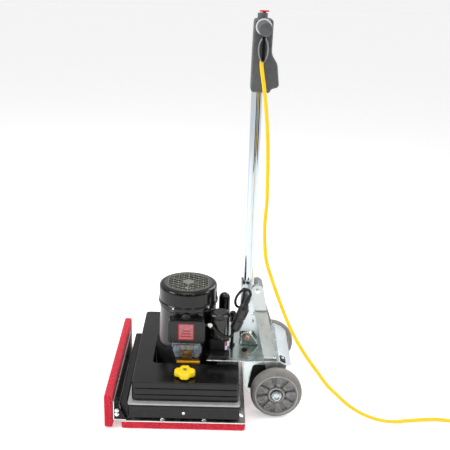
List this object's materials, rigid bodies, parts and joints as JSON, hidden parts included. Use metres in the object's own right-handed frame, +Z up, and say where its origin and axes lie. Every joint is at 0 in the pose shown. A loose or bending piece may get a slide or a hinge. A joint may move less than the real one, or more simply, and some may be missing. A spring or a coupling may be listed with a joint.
{
  "type": "orbital floor machine",
  "caption": "Walk-behind orbital floor machine with a rectangular pad, slotted weights, a vertical motor, a tilting handle and transport wheels.",
  "frame": {"origin": "on the floor, at the middle of the machine's footprint without its power cord", "axes": "+Z up, +Y towards the operator and the wheels, -Y towards the front pad, +X across the machine along its grips"},
  "size_m": [0.5329, 1.363, 1.157],
  "materials": {
    "grey_paint": "satin paint",
    "black_paint": "gloss paint",
    "cast_weight": "gloss paint",
    "black_plastic": "moulded",
    "black_rubber": "moulded",
    "grey_plastic": "moulded",
    "grey_tyre": "moulded",
    "zinc": "zinc plated",
    "chrome": "polished",
    "steel": "turned",
    "cast_iron": "as cast",
    "red_pad": "non-woven pad fibre",
    "red_plastic": "moulded",
    "yellow_plastic": "moulded",
    "cord_rubber": "extruded",
    "clear_plastic": "clear"
  },
  "bodies": {
    "chassis": {"frame_plate": "grey_paint", "skirt": "black_rubber", "isolator_1": "black_rubber", "isolator_2": "black_rubber", "isolator_3": "black_rubber", "isolator_4": "black_rubber", "weight_plate_1": "cast_weight", "weight_plate_2": "cast_weight", "weight_plate_3": "cast_weight", "motor_foot": "black_paint", "motor_body": "black_paint", "stator_core": "cast_iron", "motor_bearing": "steel", "motor_end_plate": "black_paint", "under_frame": "black_paint", "fan_cover": "black_paint", "junction_box": "black_paint", "junction_cover": "black_paint", "control_box": "black_plastic", "capacitor_near": "black_plastic", "capacitor_far": "black_plastic", "clear_cover": "clear_plastic", "cover_base": "yellow_plastic", "chassis": "zinc", "pivot_clevis": "zinc", "pivot_bolt": "steel", "handle_cradle": "zinc", "arm_near": "zinc", "arm_far": "zinc", "axle": "steel", "lead_connector": "black_plastic", "motor_lead": "black_rubber", "handle_lead": "black_rubber", "power_cord": "cord_rubber", "cord_coil": "cord_rubber", "plug": "yellow_plastic"},
    "rotor": {"rotor": "steel", "cooling_fan": "black_plastic", "eccentric_hub": "cast_iron"},
    "pad_carrier": {"floor_pad": "red_pad", "driver_plate": "steel", "baseboard_pad": "red_pad", "baseboard_holder": "steel", "eccentric_bearing": "steel", "bearing_housing": "cast_iron"},
    "clamp_near": {"clamp_knob_near": "yellow_plastic"},
    "clamp_far": {"clamp_knob_far": "yellow_plastic"},
    "wheel_near": {"tyre_near": "grey_tyre", "wheel_hub_near": "grey_plastic"},
    "wheel_far": {"tyre_far": "grey_tyre", "wheel_hub_far": "grey_plastic"},
    "handle": {"handle_tube": "chrome", "head_housing": "grey_plastic", "grip_near": "grey_plastic", "grip_far": "grey_plastic", "strain_relief": "black_rubber"},
    "trigger": {"trigger": "black_plastic"},
    "lockout_button": {"lockout_button": "red_plastic"},
    "reset_button": {"reset_button": "black_plastic"},
    "lock_plunger": {"lock_plunger": "steel"}
  },
  "joints": [
    {"name": "motor_spin", "type": "hinge", "parent": "chassis", "child": "rotor", "pos_m": [0, -0.0601, 0.1], "axis": [0, 0, 1], "continuous": true},
    {"name": "pad_orbit", "type": "hinge", "parent": "rotor", "child": "pad_carrier", "pos_m": [0.0032, -0.0601, 0.03], "axis": [0, 0, 1], "continuous": true},
    {"name": "clamp_near_turn", "type": "hinge", "parent": "chassis", "child": "clamp_near", "pos_m": [0.195, -0.0601, 0.15], "axis": [0, 0, 1], "range_deg": [0, 360]},
    {"name": "clamp_far_turn", "type": "hinge", "parent": "chassis", "child": "clamp_far", "pos_m": [-0.195, -0.0601, 0.15], "axis": [0, 0, 1], "range_deg": [0, 360]},
    {"name": "wheel_near_roll", "type": "hinge", "parent": "chassis", "child": "wheel_near", "pos_m": [0.1615, 0.2099, 0.0762], "axis": [1, 0, 0], "continuous": true},
    {"name": "wheel_far_roll", "type": "hinge", "parent": "chassis", "child": "wheel_far", "pos_m": [-0.1615, 0.2099, 0.0762], "axis": [1, 0, 0], "continuous": true},
    {"name": "handle_tilt", "type": "hinge", "parent": "chassis", "child": "handle", "pos_m": [0, 0.1209, 0.186], "axis": [-1, 0, 0], "range_deg": [0, 45]},
    {"name": "lock_plunger_slide", "type": "slide", "parent": "chassis", "child": "lock_plunger", "axis": [-1, 0, 0], "range_m": [0, 0.006]},
    {"name": "trigger_squeeze", "type": "hinge", "parent": "handle", "child": "trigger", "pos_m": [0, 0.1314, 1.085], "axis": [1, 0, 0], "range_deg": [0, 12], "stiffness_Nm_per_rad": 1, "springref_deg": -11.46},
    {"name": "lockout_press", "type": "slide", "parent": "handle", "child": "lockout_button", "axis": [0, 0, -1], "range_m": [0, 0.0025], "stiffness_N_per_m": 600, "springref_m": -0.001},
    {"name": "reset_press", "type": "slide", "parent": "chassis", "child": "reset_button", "axis": [-1, 0, 0], "range_m": [0, 0.002], "stiffness_N_per_m": 600, "springref_m": -0.001}
  ],
  "couplings": [
    {"joint": "pad_orbit", "follows": "motor_spin", "ratio": -1}
  ]
}
